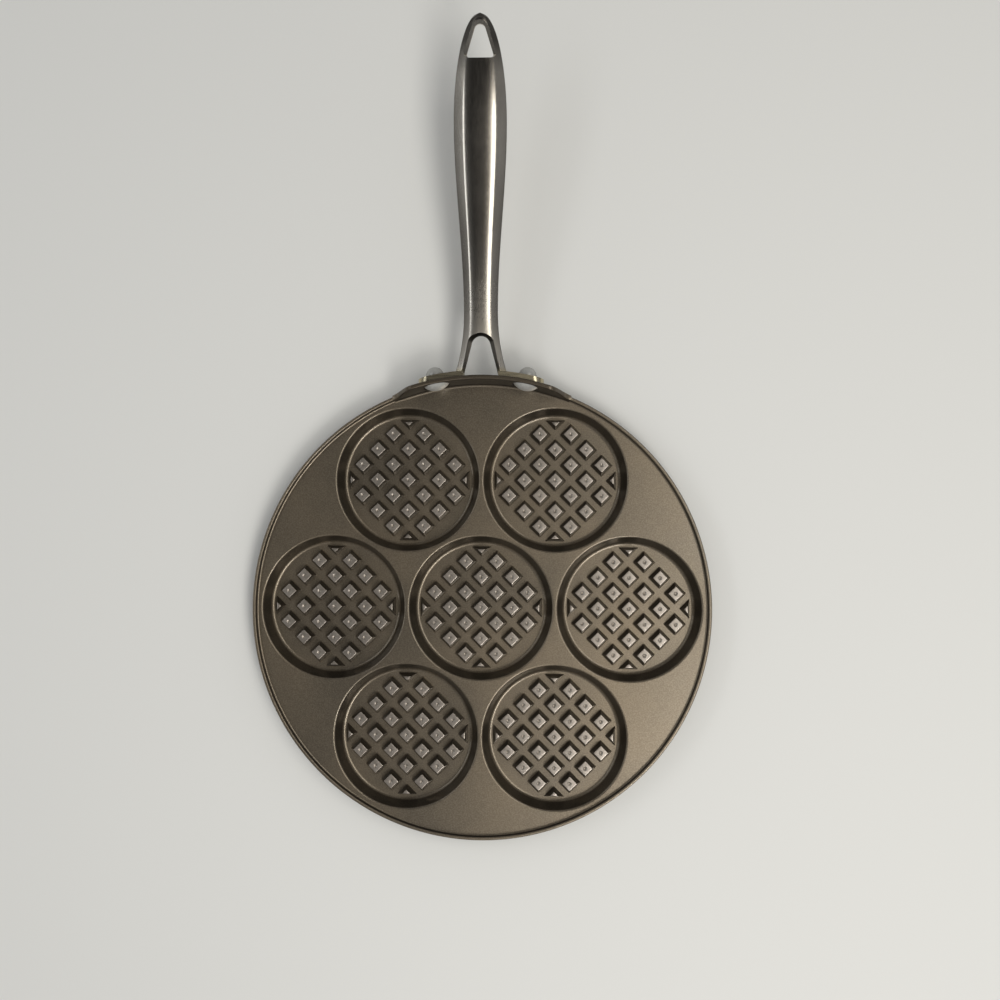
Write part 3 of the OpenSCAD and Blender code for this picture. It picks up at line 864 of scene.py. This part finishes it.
def steel():
    """Satin stainless steel, brushed along the handle and along its tabs. It is warmer on the tabs, duller
    on the fork, and has painted shade on its steep flanks and on the loop's outer band, but not on the hole's
    sides."""
    material = bpy.data.materials.new("brushed_steel")
    nodes = Nodes(material)
    along = nodes.mapped(nodes.place(), Rotation=(-HANDLE_RISE, 0, 0), Scale=(1.0, BRUSH_PULL, 1.0))
    across = nodes.mapped(nodes.place(), Scale=(BRUSH_PULL, 1.0, 1.0))
    away = nodes.axis(nodes.place(), 1)
    on_tab = 1 - nodes.between(away, PAN_R + TAB_T, PAN_R + 2 * TAB_T)
    on_fork = (0.5 + 0.5 * nodes.between(away, PAN_R + 0.3 * FORK_LEN, PAN_R + 0.8 * FORK_LEN)) * (
        1 - nodes.between(away, PAN_R + FORK_LEN, PAN_R + 2.4 * FORK_LEN))
    hole_y = PAN_R + (HOLE_TOP_Y - HOLE_LEN / 2) * cos(HANDLE_RISE)
    on_loop = nodes.between(away, hole_y - HOLE_LEN, hole_y)
    from_hole = nodes.mapped(nodes.place(), Location=(0, -hole_y, 0), Scale=(1.0, 1.0, 0.0))
    outwards = nodes.add("VectorMath", {"operation": "DOT_PRODUCT"}, {0: from_hole, 1: nodes.normal()},
                         output="Value")
    in_hole = on_loop * (1 - nodes.between(outwards, -0.5 * MM, 0))
    # The loop's outer band, which gets painted shade below.
    outer_band_shade = on_loop * nodes.between(outwards, 0.8 * MM, 2 * MM)
    lines = (nodes.noise(along, 2600.0, detail=3.0, roughness=0.6) * (1 - on_tab)
             + nodes.noise(across, 2600.0, detail=3.0, roughness=0.6) * on_tab)
    smears = nodes.between(nodes.noise(nodes.place(), 35.0, detail=3.0), 0.3, 0.7)
    colour = nodes.mix(smears, *STEEL)
    # Painted shade: steep flanks are darkened, but not the hole's sides, and so is the loop's outer band.
    colour = nodes.mix(nodes.steep(0.66, 0.86) * 0.9 * (1 - in_hole), colour, STEEL_FLANK_SHADE)
    colour = nodes.mix(outer_band_shade * 0.75, colour, STEEL_FLANK_SHADE)
    colour = nodes.mix(on_tab * 0.7, colour, STEEL_TAB)
    rough = 0.15 + on_fork * 0.14 + nodes.between(lines, 0.3, 0.7) * 0.08 + smears * 0.04
    nodes.surface(Base_Color=colour, Roughness=rough, Metallic=1.0, Normal=nodes.bump(lines, 0.08, 0.03 * MM))
    return material


def rivet_metal():
    """Satin aluminium of the rivets, with painted shade on the domes outside the pan, darkest on their steep
    sides.
    """
    material = bpy.data.materials.new("rivet_aluminium")
    nodes = Nodes(material)
    place = nodes.place()
    grain = nodes.noise(place, 900.0, detail=3.0)
    grainy = nodes.between(grain, 0.3, 0.7)
    outside = nodes.between(nodes.length(place), PAN_R, PAN_R + MM)
    # Painted shade on the domes outside the pan, darkest on their steep sides.
    colour = nodes.mix(outside * (0.35 + nodes.steep(0.1, 0.75) * 0.5), nodes.mix(grainy, *ALUMINIUM),
                       ALUMINIUM_SHADE)
    nodes.surface(Base_Color=colour, Roughness=0.30 + grainy * 0.08, Metallic=0.5,
                  Normal=nodes.bump(grain, 0.1, 0.05 * MM))
    return material


# ---- Floor, light and camera ----

FLOOR_SIZE = 8.0
FLOOR_FADE = (0.6, 1.1)                  # distances between which the floor turns into the backdrop

SKY_TILT = radians(8)                    # about X, which moves the dark part off the zenith
SKY = [(0.0, 0.12), (0.2, 0.13), (0.5, 0.24), (0.8, 0.13), (0.96, 0.015)]   # height and brightness
FILL = 0.44                              # brightness of the soft light that matt surfaces get

# Name, place, aim, size along Y and across, radiance and colour
LAMPS = [
    ("right_lamp", (0.45, -0.02, 1.05), (0.03, 0, 0), (1.15, 0.36), 3.5, (1, 0.97, 0.90)),
    ("warm_card", (0.12, -0.02, 1.05), (0, 0, 0), (1.15, 0.2), 0.14, (1, 0.88, 0.76)),
    ("front_lamp", (0.42, -0.62, 1.0), (0, -0.05, 0), (0.4, 0.4), 9.0, (1, 0.98, 0.95)),
    ("left_lamp", (-0.85, 0.2, 0.85), (0, 0.1, 0), (0.9, 0.22), 2.2, (0.95, 0.98, 1)),
]

CAMERA_PLACE = (0.03346, 0.04940, 0.59122)
CAMERA_TURN = (1.3242, 2.2233, 0.3183)   # degrees about X, Y and Z; it looks nearly straight down
LENS, SENSOR_W = 36, 36                  # mm


def floor():
    """A pale matt floor that takes the pan's shadow and turns into the plain backdrop farther out."""
    bpy.ops.mesh.primitive_plane_add(size=FLOOR_SIZE, location=(0, 0, 0))
    piece = bpy.context.object
    piece.name = "floor"
    material = bpy.data.materials.new("pale_floor")
    nodes = Nodes(material)
    near = nodes.add("BsdfPrincipled", inputs={"Base Color": FLOOR_TONE, "Roughness": 0.9})
    far = nodes.add("Emission", inputs={"Color": BACKDROP, "Strength": 1.0})
    fade = nodes.between(nodes.length(nodes.place()), *FLOOR_FADE)
    nodes.add("OutputMaterial", inputs={"Surface": nodes.add("MixShader", inputs={0: fade, 1: near, 2: far})})
    piece.data.materials.append(material)


def surroundings():
    """What shiny metal mirrors, dark straight above and pale in between, the even fill that matt surfaces
    get, and a pale backdrop."""
    world = bpy.data.worlds.new("studio")
    bpy.context.scene.world = world
    nodes = Nodes(world)
    tilted = nodes.mapped(nodes.add("TexCoord", output="Generated"), Rotation=(SKY_TILT, 0, 0))
    glow = nodes.add("ValToRGB", {"stops": [(height, (grey, grey, grey, 1)) for height, grey in SKY]},
                     {0: nodes.axis(tilted, 2)})
    fill = nodes.mix(nodes.add("LightPath", output="Is Diffuse Ray"), glow, (FILL, FILL, FILL, 1))
    colour = nodes.mix(nodes.add("LightPath", output="Is Camera Ray"), fill, BACKDROP)
    nodes.add("OutputWorld", inputs={
        "Surface": nodes.add("Background", inputs={"Color": colour, "Strength": 1.0})})


def lamp(name, place, aim, size, radiance, colour):
    """A soft rectangular lamp, as bright as asked whatever its size."""
    light = bpy.data.lights.new(name, "AREA")
    light.shape = "RECTANGLE"
    light.size, light.size_y = size
    light.energy = radiance * pi * size[0] * size[1]
    light.color = colour
    holder = bpy.data.objects.new(name, light)
    bpy.context.collection.objects.link(holder)
    holder.location = place
    holder.rotation_euler = (Vector(aim) - Vector(place)).to_track_quat("-Z", "Y").to_euler()


def camera():
    data = bpy.data.cameras.new("camera")
    data.sensor_width = SENSOR_W
    data.lens = LENS
    holder = bpy.data.objects.new("camera", data)
    bpy.context.collection.objects.link(holder)
    holder.location = CAMERA_PLACE
    holder.rotation_euler = [radians(turn) for turn in CAMERA_TURN]
    bpy.context.scene.camera = holder


bpy.context.scene.view_settings.view_transform = "Standard"
pan(nonstick())
handle(steel())
bright = rivet_metal()
for side in (-1, 1):
    rivet(side, bright)
floor()
surroundings()
for settings in LAMPS:
    lamp(*settings)
camera()
